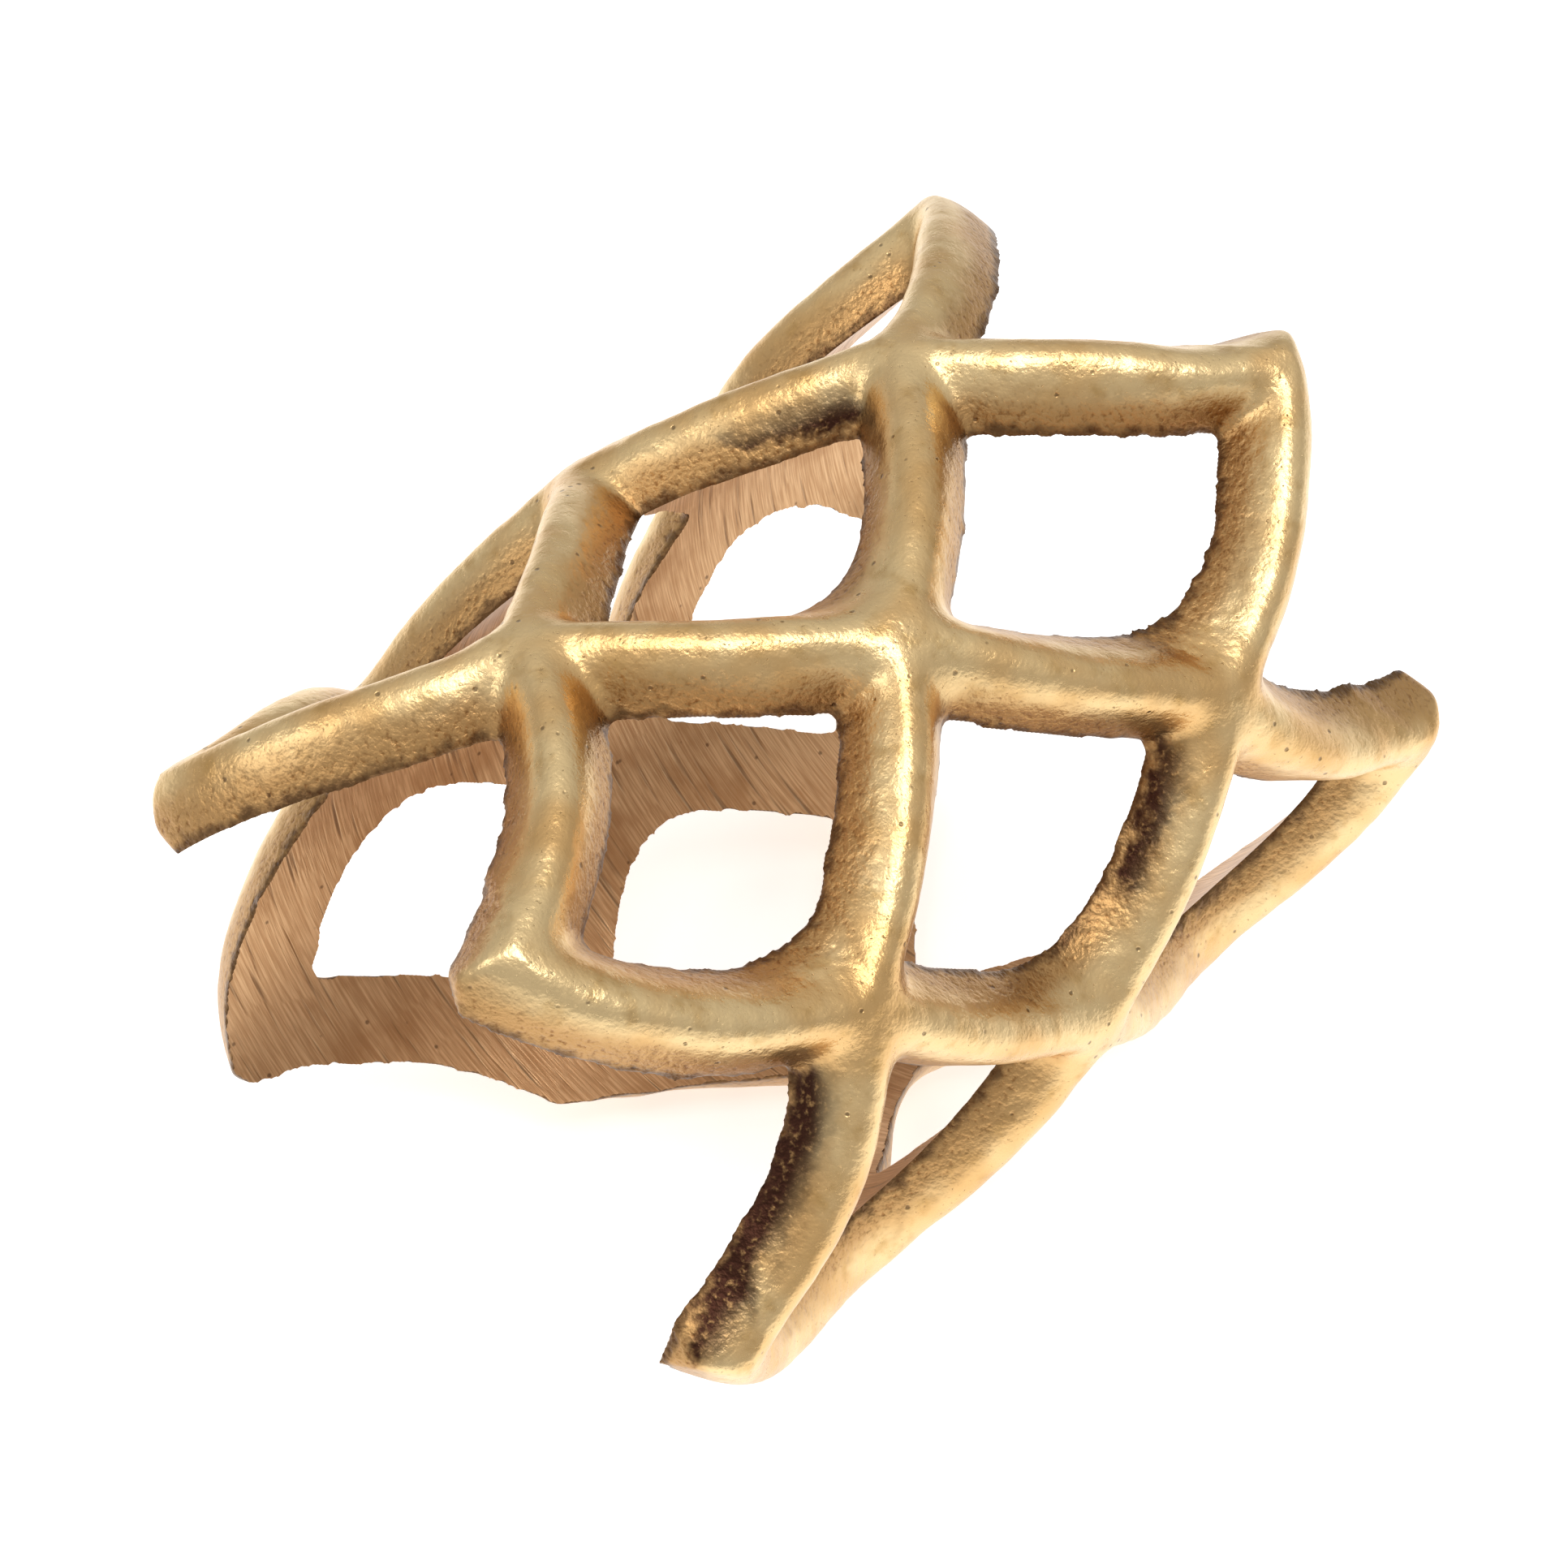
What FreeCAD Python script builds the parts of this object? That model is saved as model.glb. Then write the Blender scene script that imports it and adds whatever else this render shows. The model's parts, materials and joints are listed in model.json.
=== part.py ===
import FreeCAD, Part
import math
import os

from FreeCAD import Placement, Rotation, Vector

# An openwork napkin ring: a cast brass lattice of scales, bent round a bore.
#
# Frame: the bore's axis is +Y and the origin is its centre, half way along. +Z is up, with the
# ring lying on its side. The lattice has columns round the ring, which turn from +Z towards +X,
# and five rows of crossings along it. The casting is cut at the middle of each crossing into its
# bars, one solid for each, which meet face to face.

# ---- Driving dimensions, in millimetres and degrees ----
BORE_RADIUS = 19.0      # inside the ring, where the napkin goes
WALL = 3.6              # from the bore to the crest of a bar, half way between crossings
CROSSING_RISE = 0.3     # how much prouder the crest is where bars cross
ROW_PITCH = 14.0        # along the axis, from the middle row of crossings to the next
TIP_PITCH = 13.7        # along the axis, from that row to the tips
BAR_WIDTH = 5.9         # of a bar at the bore
SHOULDER_WIDTH = 4.3    # of a bar where its sides turn into the crown
SHOULDER_DEPTH = 1.6    # from the crest down to those shoulders
BAR_BOW = 0.9           # sideways bow of a bar between two crossings
TIP_BAR_BOW = 2.2       # sideways bow of a bar that ends in a tip
TIP_REACH = 2.4         # from where the centre lines meet at a tip out to the flat across it
FIRST_COLUMN_ANGLE = 18.0  # from +Z to the first column, so that the ring lies between two columns

# ---- The pattern ----
COLUMNS = 10            # of crossings round the ring; the rows are staggered, so five scales in each
BARE_COLUMN = 4         # has no tips, which leaves a narrow waist at the back of the ring
TIP_ROW = 2             # rows run from -TIP_ROW to TIP_ROW, and the outer two are the tips
BANDS = {-2: "front_tip", -1: "front", 0: "back", 1: "back_tip"}  # by the row each starts from

# ---- How finely the bars are drawn ----
SECTIONS = 9            # cross-sections in each bar
OVERRUN = 0.35          # how far a bar runs on past each crossing before it is mitred, as a share
TRIM_DEPTH = 1.0        # each bar starts this far inside the bore and is turned out to it
CUTTER = 100.0          # size of the blocks that mitre the bars
SAME_DIRECTION = 1e-6   # two unit vectors this close are the same bar's

CREST_RADIUS = BORE_RADIUS + WALL
COLUMN_PITCH = 2 * math.pi * CREST_RADIUS / COLUMNS


def row_height(row):
    """Where a row of crossings lies along the axis."""
    inner = min(abs(row), 1) * ROW_PITCH
    outer = max(abs(row) - 1, 0) * TIP_PITCH
    return math.copysign(inner + outer, row)


def flat_point(crossing):
    """A crossing's place on the pattern laid flat: round the ring, and along it."""
    column, row = crossing
    return Vector(column * COLUMN_PITCH, row_height(row), 0)


def exists(crossing):
    """The tips of the bare column are left out."""
    column, row = crossing
    return not (abs(row) == TIP_ROW and column % COLUMNS == BARE_COLUMN)


def ring_angle(flat):
    """The angle round the ring, from +Z towards +X, of a point on the flat pattern."""
    return math.radians(FIRST_COLUMN_ANGLE) + flat.x / CREST_RADIUS


def radial(flat):
    angle = ring_angle(flat)
    return Vector(math.sin(angle), 0, math.cos(angle))


def on_ring(flat, radius):
    """The flat pattern wrapped round the axis, at a radius."""
    return radial(flat) * radius + Vector(0, flat.y, 0)


def wrapped(flat, direction):
    """A direction on the flat pattern, turned into one in the ring's skin."""
    angle = ring_angle(flat)
    round_the_ring = Vector(math.cos(angle), 0, -math.sin(angle))
    return round_the_ring * direction.x + Vector(0, direction.y, 0)


class Bar:
    """One bar of the lattice, from a crossing to one in the next column."""

    def __init__(self, column, band):
        rises = (column + band) % 2 == 0
        self.start = (column, band if rises else band + 1)
        self.end = (column + 1, band + 1 if rises else band)
        at_tip = TIP_ROW in (abs(self.start[1]), abs(self.end[1]))
        self.bow = TIP_BAR_BOW if at_tip else BAR_BOW
        self.name = f"{BANDS[band]}_bar_{column + 1:02d}"

    def centre_line(self, t):
        """A point on the bar's bowed centre line, and its direction there, on the flat pattern."""
        first, last = flat_point(self.start), flat_point(self.end)
        chord = last - first
        side = Vector(abs(chord.y), -math.copysign(chord.x, chord.y), 0).normalize()
        point = first + chord * t + side * (4 * self.bow * t * (1 - t))
        direction = chord + side * (4 * self.bow * (1 - 2 * t))
        return point, direction.normalize()

    def leaves(self, crossing):
        """The direction in which the bar leaves one of its two crossings."""
        if crossing == self.start:
            return self.centre_line(0)[1]
        return self.centre_line(1)[1] * -1

    def section(self, t):
        """The D-shaped cross-section: a flat back, two sloping sides and a round crown."""
        flat, direction = self.centre_line(t)
        across = wrapped(flat, Vector(-direction.y, direction.x, 0))
        out = radial(flat)
        crest = CREST_RADIUS + CROSSING_RISE * math.cos(math.pi * t) ** 2
        shoulder = CREST_RADIUS - SHOULDER_DEPTH
        middle = Vector(0, flat.y, 0)

        def corner(side, radius):
            return middle + out * radius + across * side

        slope = (BAR_WIDTH - SHOULDER_WIDTH) / (shoulder - BORE_RADIUS)
        foot = BORE_RADIUS - TRIM_DEPTH
        foot_width = BAR_WIDTH + slope * TRIM_DEPTH
        left_foot = corner(-foot_width / 2, foot)
        right_foot = corner(foot_width / 2, foot)
        left = corner(-SHOULDER_WIDTH / 2, shoulder)
        right = corner(SHOULDER_WIDTH / 2, shoulder)
        edges = [
            Part.LineSegment(left_foot, right_foot).toShape(),
            Part.LineSegment(right_foot, right).toShape(),
            Part.Arc(right, corner(0, crest), left).toShape(),
            Part.LineSegment(left, left_foot).toShape(),
        ]
        return Part.Wire(edges)

    def blank(self):
        """The bar before it is mitred, running on past both of its crossings."""
        steps = [-OVERRUN + (1 + 2 * OVERRUN) * n / (SECTIONS - 1) for n in range(SECTIONS)]
        return Part.makeLoft([self.section(t) for t in steps], True, False)


def keep(shape, point, inward):
    """What is left of a shape on the side of a plane that inward points to."""
    block = Part.makeBox(CUTTER, CUTTER, CUTTER, Vector(-CUTTER / 2, -CUTTER / 2, 0))
    block.Placement = Placement(point, Rotation(Vector(0, 0, 1), inward))
    return shape.common(block)


def directions_at(crossing, bars):
    """The directions in which the bars leave a crossing, in order round it."""
    found = []
    for bar in bars:
        for end in (bar.start, bar.end):
            if end[1] == crossing[1] and (end[0] - crossing[0]) % COLUMNS == 0:
                found.append(bar.leaves(end))
    return sorted(found, key=lambda d: math.atan2(d.y, d.x))


def angle_to(direction, other):
    """The angle from one direction to another, turning left, from 0 to a full turn."""
    turn = math.atan2(other.y, other.x) - math.atan2(direction.y, direction.x)
    return turn % (2 * math.pi)


def turned(direction, angle):
    return Rotation(Vector(0, 0, 1), math.degrees(angle)).multVec(direction)


def mitred(shape, bar, crossing, bars):
    """Cut a bar's end half way round to the next bar on each side, as a frame is mitred."""
    own = bar.leaves(crossing)
    others = [d for d in directions_at(crossing, bars) if (d - own).Length > SAME_DIRECTION]
    to_left = min(angle_to(own, d) for d in others)
    to_right = min(angle_to(d, own) for d in others)
    flat = flat_point(crossing)
    centre = on_ring(flat, BORE_RADIUS)
    for half, sign in ((to_left / 2, -1), (-to_right / 2, 1)):
        edge = turned(own, half)
        inward = wrapped(flat, Vector(-edge.y, edge.x, 0) * sign)
        shape = keep(shape, centre, inward)
    if abs(crossing[1]) == TIP_ROW:
        shape = blunted(shape, crossing, others[0] + own)
    return shape


def blunted(shape, crossing, back_into_ring):
    """The flat across a tip, where two bars meet at close to a right angle."""
    inward = Vector(back_into_ring).normalize()
    flat = flat_point(crossing)
    face = on_ring(flat, CREST_RADIUS) - wrapped(flat, inward) * TIP_REACH
    return keep(shape, face, wrapped(flat, inward))


def make_bar(bar, bars):
    shape = bar.blank()
    for crossing in (bar.start, bar.end):
        shape = mitred(shape, bar, crossing, bars)
    length = 2 * row_height(TIP_ROW) + CUTTER
    bore = Part.makeCylinder(BORE_RADIUS, length, Vector(0, -length / 2, 0), Vector(0, 1, 0))
    return shape.cut(bore)


def all_bars():
    bars = []
    for band in BANDS:
        for column in range(COLUMNS):
            bar = Bar(column, band)
            if exists(bar.start) and exists(bar.end):
                bars.append(bar)
    return bars


os.makedirs("parts", exist_ok=True)
lattice = all_bars()
total = 0.0
for lattice_bar in lattice:
    solid = make_bar(lattice_bar, lattice).Solids
    if len(solid) != 1:
        raise RuntimeError(f"{lattice_bar.name} came out as {len(solid)} solids")
    solid[0].exportStep(f"parts/{lattice_bar.name}.step")
    total += solid[0].Volume
    print(f"{lattice_bar.name}: {solid[0].Volume:.1f} mm3")
print(f"{len(lattice)} bars, {total:.0f} mm3 of brass")
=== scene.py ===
# %% [markdown]
# # An openwork napkin ring in cast brass
#
# The real object is one casting: a lattice of bars in the pattern of fish scales, bent round a bore
# that takes a rolled napkin. This lesson builds it the way the pattern maker thinks of it. The
# lattice is drawn flat as thin lines, the lines are given body by a distance field, and the flat
# lattice is wrapped round the bore. The finish then tells the three surfaces apart: a polished
# crown, rough walls as they left the sand, and a back that was ground on a belt.

# %% Load the CAD frame
import json
import math
from collections import Counter

import bmesh
import bpy
import numpy as np
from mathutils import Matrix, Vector


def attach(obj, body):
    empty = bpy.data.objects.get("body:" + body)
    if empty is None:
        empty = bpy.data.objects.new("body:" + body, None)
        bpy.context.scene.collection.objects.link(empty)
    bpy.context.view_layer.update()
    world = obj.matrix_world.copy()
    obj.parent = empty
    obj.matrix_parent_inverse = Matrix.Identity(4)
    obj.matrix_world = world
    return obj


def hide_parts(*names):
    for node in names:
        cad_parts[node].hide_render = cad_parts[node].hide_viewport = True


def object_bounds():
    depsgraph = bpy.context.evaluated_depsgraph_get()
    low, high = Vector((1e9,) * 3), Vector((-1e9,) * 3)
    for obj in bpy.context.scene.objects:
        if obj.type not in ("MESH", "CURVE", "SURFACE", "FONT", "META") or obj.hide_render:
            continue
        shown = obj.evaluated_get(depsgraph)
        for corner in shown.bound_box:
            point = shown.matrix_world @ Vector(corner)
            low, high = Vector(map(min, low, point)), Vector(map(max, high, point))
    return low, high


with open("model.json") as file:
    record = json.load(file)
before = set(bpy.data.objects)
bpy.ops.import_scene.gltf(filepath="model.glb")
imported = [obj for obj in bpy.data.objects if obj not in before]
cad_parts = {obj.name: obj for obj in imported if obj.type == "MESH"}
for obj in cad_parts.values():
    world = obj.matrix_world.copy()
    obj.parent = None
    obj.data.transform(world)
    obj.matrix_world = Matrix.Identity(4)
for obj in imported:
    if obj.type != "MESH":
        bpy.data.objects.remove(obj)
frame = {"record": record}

cad_low, cad_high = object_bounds()
print("CAD box, mm:", [round(1000 * side, 1) for side in cad_high - cad_low])

# %% [markdown]
# ## The camera
#
# The ring lies on its side and is seen from above its front end, from about ten radii away. The
# camera looks straight at the ring's centre, and a small shift slides the picture without turning
# it, as a view camera's back does.

# %% Place the camera
CAMERA_AZIMUTH = 44.0      # degrees, from the front towards the right
CAMERA_ELEVATION = 53.9    # degrees above the floor
CAMERA_DISTANCE = 0.2153   # metres from the ring's centre
CAMERA_LENS = 87.9         # mm, on a sensor 36 mm wide
CAMERA_SHIFT = (-0.0136, 0.0098)

camera_data = bpy.data.cameras.new("camera")
camera = bpy.data.objects.new("camera", camera_data)
bpy.context.scene.collection.objects.link(camera)
turn, rise = math.radians(CAMERA_AZIMUTH), math.radians(CAMERA_ELEVATION)
towards_camera = Vector((
    math.sin(turn) * math.cos(rise),
    -math.cos(turn) * math.cos(rise),
    math.sin(rise),
))
camera.location = towards_camera * CAMERA_DISTANCE
camera.rotation_euler = (-towards_camera).to_track_quat("-Z", "Y").to_euler()
camera_data.lens = CAMERA_LENS
camera_data.sensor_width = 36.0
camera_data.shift_x, camera_data.shift_y = CAMERA_SHIFT
camera_data.clip_start, camera_data.clip_end = 0.01, 10.0
bpy.context.scene.camera = camera
print("camera at, mm:", [round(1000 * x) for x in camera.location])

# %% [markdown]
# ## The sizes of the lattice
#
# Everything is drawn in millimetres on a flat strip, with u round the ring, v along it and h up from
# the bore. The bore comes from the CAD model's own mount. Five scales go round, and since the rows
# are staggered there are ten columns of crossings.

# %% Name the sizes
BORE = frame["record"]["mounts"][0]["dims"]["r_mm"]
WALL = 3.6               # bore to crest
COLUMNS = 10
BARE_COLUMN = 4          # its two tips are left off
ROWS = (0.0, 14.0, 27.4)  # heights of the crossings, from the middle row out to the tips
FIRST_ANGLE = math.radians(18.0)
CREST = BORE + WALL
GIRTH = 2 * math.pi * CREST
COLUMN = GIRTH / COLUMNS
print(f"strip {GIRTH:.1f} mm round, column {COLUMN:.2f} mm")

# %% [markdown]
# ## The centre lines
#
# A rising bar runs from one crossing to the next one up and to the right, and bows a little to the
# right on its way, which turns plain diamonds into scales. The falling bars are their mirror image,
# so only the rising ones are drawn. They run on past both ends of the strip, so that the pattern
# doesn't notice where the strip is joined.

# %% Draw the rising bars
BOW = 0.9                # sideways bow of a bar between two crossings, mm
TIP_BOW = 2.2            # the same for a bar that ends in a tip
STEPS = 24               # straight pieces in each bar's line


def row_height(row):
    return math.copysign(ROWS[abs(row)], row)


def bowed_line(start, end, bow):
    """Points along a bar, from start to end, bowed to its right-hand side."""
    chord = end - start
    side = Vector((chord.y, -chord.x)).normalized()
    shares = [n / STEPS for n in range(STEPS + 1)]
    return [start + chord * t + side * (4 * bow * t * (1 - t)) for t in shares]


def centre_lines(name):
    """A wire mesh of the rising bars, laid flat."""
    points, edges = [], []
    for column in range(-3, COLUMNS + 4):
        for row in (-2, -1, 0, 1):
            starts_bare = row == -2 and column % COLUMNS == BARE_COLUMN
            ends_bare = row == 1 and (column + 1) % COLUMNS == BARE_COLUMN
            if (column + row) % 2 or starts_bare or ends_bare:
                continue
            start = Vector((column * COLUMN, row_height(row)))
            end = Vector(((column + 1) * COLUMN, row_height(row + 1)))
            bow = TIP_BOW if row in (-2, 1) else BOW
            first = len(points)
            points += [(p.x, p.y, 0) for p in bowed_line(start, end, bow)]
            edges += [(first + n, first + n + 1) for n in range(STEPS)]
    mesh = bpy.data.meshes.new(name)
    mesh.from_pydata(points, edges, [])
    return bpy.data.objects.new(name, mesh), len(edges) // STEPS


lattice, line_count = centre_lines("lattice")
bpy.context.scene.collection.objects.link(lattice)
print(line_count, "rising bars drawn, spare ones included")

# %% [markdown]
# ## Sums made of nodes
#
# A distance field is a sum worked out at every point of space. Each + or * in it is a Math node. One
# small function adds any node, and a thin wrapper lets the sums be written as sums.

# %% A helper that adds a node, and sums written as sums


def add(tree, kind, inputs=(), **settings):
    """Adds a node, gives it its settings, and fills its inputs with values or links."""
    node = tree.nodes.new(kind)
    for name, value in settings.items():
        setattr(node, name, value)
    for place, value in dict(inputs if isinstance(inputs, dict) else enumerate(inputs)).items():
        value = getattr(value, "socket", value)
        if isinstance(value, bpy.types.NodeSocket):
            tree.links.new(value, node.inputs[place])
        elif value is not None:
            node.inputs[place].default_value = value
    return node


class Sum:
    """A number that nodes work out."""

    def __init__(self, tree, socket):
        self.tree, self.socket = tree, socket

    def do(self, operation, *others):
        node = add(self.tree, "ShaderNodeMath", [self, *others], operation=operation)
        return Sum(self.tree, node.outputs[0])

    def __add__(self, other):
        return self.do("ADD", other)

    def __sub__(self, other):
        return self.do("SUBTRACT", other)

    def __mul__(self, other):
        return self.do("MULTIPLY", other)

    def __truediv__(self, other):
        return self.do("DIVIDE", other)


# %% [markdown]
# ## The inputs of the casting's tree
#
# The tree that makes the casting is a distance field: it gives every point of space a number, which
# says how far outside the metal that point is. The casting's sizes are inputs of the tree, so they can
# be changed in the modifier's panel. The seed fixes everything that looks like chance.

# %% Name the inputs
SEED = 7.0
CASTING_SIZES = {
    # mm, apart from the slope
    "Half width at the bore": 3.0,
    "Side slope": 0.48,
    "Crown radius": 1.5,
    "Shoulder softness": 1.2,
    "Wall": WALL,
    "Crossing rise": 0.3,
    "Corner fillet": 1.6,
    "Round end fillet": 8.5,
    "Crest fillet": 3.0,
    "Tip reach": 2.3,
    "Flash": 0.9,
    "Flash height": 0.3,
    "Hand wobble": 0.25,
    "Dents": 0.12,
    "Ripples": 0.04,
}


def name_inputs(tree):
    """Gives the tree its sockets. Returns the group's input node, and each size as a Sum."""
    panel = tree.interface
    panel.new_socket("Geometry", in_out="INPUT", socket_type="NodeSocketGeometry")
    for name, value in [*CASTING_SIZES.items(), ("Seed", SEED)]:
        panel.new_socket(name, in_out="INPUT", socket_type="NodeSocketFloat").default_value = value
    panel.new_socket("Metal", in_out="INPUT", socket_type="NodeSocketMaterial")
    panel.new_socket("Geometry", in_out="OUTPUT", socket_type="NodeSocketGeometry")
    group = add(tree, "NodeGroupInput")
    return group, {name: Sum(tree, group.outputs[name]) for name in [*CASTING_SIZES, "Seed"]}


print(len(CASTING_SIZES), "sizes and a seed")

# %% [markdown]
# ## Flat and wrapped
#
# The field is worked out on the flat strip, where the lattice is easy to draw. Patterns that mustn't
# show where the strip is joined, such as dents, are read at the same point wrapped round the bore. The
# wrapping is needed twice, once here in nodes and once in Python to place things one by one.

# %% Two ways to wrap a point


def wrap(tree):
    """A point's place on the strip, as u, v and h, and the same point round the bore."""
    place = add(tree, "GeometryNodeInputPosition").outputs[0]
    parts = add(tree, "ShaderNodeSeparateXYZ", [place])
    u, v, h = (Sum(tree, parts.outputs[n]) for n in range(3))
    angle = u / CREST + FIRST_ANGLE
    radius = h + BORE
    x = radius * angle.do("SINE")
    z = radius * angle.do("COSINE")
    return u, v, h, add(tree, "ShaderNodeCombineXYZ", [x, v, z]).outputs[0]


def on_ring(column, height, above_bore):
    """A point of the strip, given by its column, once it is wrapped round the bore, mm."""
    angle = FIRST_ANGLE + 2 * math.pi * column / COLUMNS
    radius = BORE + above_bore
    return radius * math.sin(angle), height, radius * math.cos(angle)


print("column 0 tip at, mm:", [round(x, 1) for x in on_ring(0, ROWS[2], WALL)])

# %% [markdown]
# ## Uneven by chance, and bent by hand
#
# No bar of a hand-made pattern is quite where it should be, and a sand mould adds dents and ripples.
# Noise gives both. The tips, moreover, were bent and ground one by one. A bend moves the places where
# the field is read, and fades with distance, so the lattice follows it without any break.

# %% Noise and bends
UNEVENNESS = (
    # name, features per mm, detail, and a number that keeps it apart from the others
    ("round the ring", 0.09, 1.0, 3.0),
    ("along the ring", 0.09, 1.0, 11.0),
    ("flash", 0.6, 5.0, 23.0),
    ("dents", 0.3, 2.0, 31.0),
    ("ripples", 0.9, 2.0, 37.0),
)
BEND_REACH = 6.0         # how far a bend takes the lattice along with it, mm
BENDS = (
    # column, share of the way from the middle row to the tips (negative in front), mm moved round
    # the ring, mm moved outward, mm that the tip runs on before its flat
    (-4, -1.0, 1.7, 0.3, 1.6),
    (-2, -1.0, -1.0, 1.3, 0.7),
    (-2, 1.0, 0.0, 1.5, 0.5),
    (-0.5, 0.75, -0.5, 0.5, 0.0),
    (0, -1.0, 0.0, 0.0, 0.8),
    (0, 1.0, 1.9, 1.2, 0.2),
    (2, -1.0, 0.2, 0.2, 0.2),
    (2, 1.0, 0.0, 0.3, 0.2),
)


def chance(tree, wrapped, seed):
    """Unevenness of each kind, between about -1 and 1."""
    uneven = {}
    for name, scale, detail, salt in UNEVENNESS:
        cloud = add(tree, "ShaderNodeTexNoise", {
            "Vector": wrapped, "W": seed + salt, "Scale": scale, "Detail": detail,
        }, noise_dimensions="4D")
        uneven[name] = (Sum(tree, cloud.outputs[0]) - 0.5) * 2.0
    return uneven


def before_bending(tree, u, v, wrapped, uneven, size):
    """Where the point was before the casting was bent, folded about the middle row, and how far
    the tips reach there."""
    wobble = size["Hand wobble"] * 2.0
    u_hand = u + uneven["round the ring"] * wobble
    up_hand = v.do("ABSOLUTE") + uneven["along the ring"] * wobble
    reach = size["Tip reach"]
    for column, part, along, outward, extra in BENDS:
        bent = on_ring(column, part * ROWS[2], WALL)
        away = add(tree, "ShaderNodeVectorMath", [wrapped, bent], operation="DISTANCE")
        share = Sum(tree, away.outputs["Value"]) / BEND_REACH
        near = (share * share * -1.0).do("EXPONENT")
        u_hand = u_hand - near * along
        up_hand = up_hand - near * outward
        reach = reach + near * extra
    return u_hand, up_hand, reach


print(len(BENDS), "bends, the farthest", max(math.hypot(bend[2], bend[3]) for bend in BENDS), "mm")

# %% [markdown]
# ## How far off each bar is
#
# Geometry Proximity finds the nearest point of the rising lines. Turning v over finds the nearest
# falling one with the same lines. Where the two bars lie in different directions, the point is in a
# corner of an opening and gets a fillet. Where they lie the same way it is outside a corner, which
# stays as it is. The end of a scale that the bars bow towards has a bigger fillet than the other.

# %% Distances and fillets
ON_LINE = 0.2            # mm, keeps a division finite on a line
ON_BOTH = 0.05           # square mm, the same where two lines cross
SHARP_LEAN, ROUND_LEAN = 0.5, 1.3  # how far both bars lie to one side, in a sharp and a round end
SAME_WAY, OTHER_WAY = 0.7, 0.35    # cosines between which a fillet comes in


def nearest_bars(tree, wires, u, up):
    """For the nearest rising bar and the nearest falling one: the way to it, and how far it is."""
    found = []
    for height in (up, up * -1.0):
        point = add(tree, "ShaderNodeCombineXYZ", [u, height, 0.0]).outputs[0]
        line = add(tree, "GeometryNodeProximity", {
            "Geometry": wires, "Sample Position": point,
        }, target_element="EDGES")
        way = add(tree, "ShaderNodeVectorMath", [line.outputs["Position"], point], operation="SUBTRACT")
        way_parts = add(tree, "ShaderNodeSeparateXYZ", [way.outputs[0]])
        found.append([Sum(tree, way_parts.outputs[n]) for n in range(2)])
        found[-1].append(Sum(tree, line.outputs["Distance"]))
    return found


def fillet_between(tree, rising_bar, falling_bar, h, size):
    """How soft the corner between the two bars is at this point, mm."""
    (rising_x, rising_y, rising), (falling_x, falling_y, falling) = rising_bar, falling_bar
    lean = rising_x / (rising + ON_LINE) + falling_x / (falling + ON_LINE)
    ends = add(tree, "ShaderNodeMapRange", {
        "Value": lean, "From Min": SHARP_LEAN, "From Max": ROUND_LEAN,
    }, interpolation_type="SMOOTHSTEP")
    round_end = Sum(tree, ends.outputs[0])
    at_bore = size["Corner fillet"] + (size["Round end fillet"] - size["Corner fillet"]) * round_end
    height = (h / size["Wall"]).do("MAXIMUM", 0.0).do("MINIMUM", 1.0)
    fillet = at_bore + (size["Crest fillet"] - at_bore) * height
    alike = (rising_x * falling_x - rising_y * falling_y) / (rising * falling + ON_BOTH)
    between = add(tree, "ShaderNodeMapRange", {
        "Value": alike, "From Min": SAME_WAY, "From Max": OTHER_WAY,
    }, interpolation_type="SMOOTHSTEP")
    return fillet * Sum(tree, between.outputs[0])


print("fillets from", CASTING_SIZES["Corner fillet"], "to", CASTING_SIZES["Round end fillet"], "mm")

# %% [markdown]
# ## The corner at a tip
#
# Beyond a tip the nearest point of either line is its end, which would make the tip a round knob. The
# real tip is a corner, so there the distance is taken from the outer sides of the two bars instead.

# %% Directions at a tip, and the corner
TIP_CORNER = 1.0         # how soft the corner is, mm


def tip_directions():
    """At a tip, the outward sides of the bar that arrives and of the bar that leaves."""
    chord = Vector((COLUMN, ROWS[2] - ROWS[1]))
    kink = math.atan(4 * TIP_BOW / chord.length)
    arriving = math.atan2(chord.y, chord.x) + kink
    leaving = -math.atan2(chord.y, chord.x) + kink
    outer_a = Vector((-math.sin(arriving), math.cos(arriving)))
    outer_b = Vector((-math.sin(leaving), math.cos(leaving)))
    return outer_a, outer_b


def turn_at_tips(off_line, u, up):
    """The distance off the lattice's lines, made a corner at each tip, and how far past its flat."""
    tip_column = (u / (2 * COLUMN)).do("ROUND")
    across = u - tip_column * (2 * COLUMN)
    beyond = up - ROWS[2]
    outer_a, outer_b = tip_directions()
    past_a = across * outer_a.x + beyond * outer_a.y
    past_b = across * outer_b.x + beyond * outer_b.y
    both = past_a.do("MINIMUM", past_b).do("GREATER_THAN", 0.0)
    bare = (tip_column * 2.0 - BARE_COLUMN).do("ABSOLUTE").do("COMPARE", 0.0, 0.5)
    corner = past_a.do("SMOOTH_MAX", past_b, TIP_CORNER)
    at_corner = both * (bare * -1.0 + 1.0)
    bisector = (outer_a + outer_b).normalized()
    past_tip = across * bisector.x + beyond * bisector.y
    return (off_line + (corner - off_line) * at_corner).do("MAXIMUM", 0.0), past_tip


print("sides of a tip:", [tuple(round(x, 2) for x in side) for side in tip_directions()])

# %% [markdown]
# ## The section of a bar
#
# A bar is flat on the bore, has sides that slope inwards, and ends in an arched crown. The side and
# the crown are each a simple distance, and a smooth maximum rounds the shoulder between them. Metal
# that crept between the two halves of the mould left a thin ragged flash all along the bore. The
# crests swell a little where two bars cross, because there was more metal there to polish.

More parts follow.
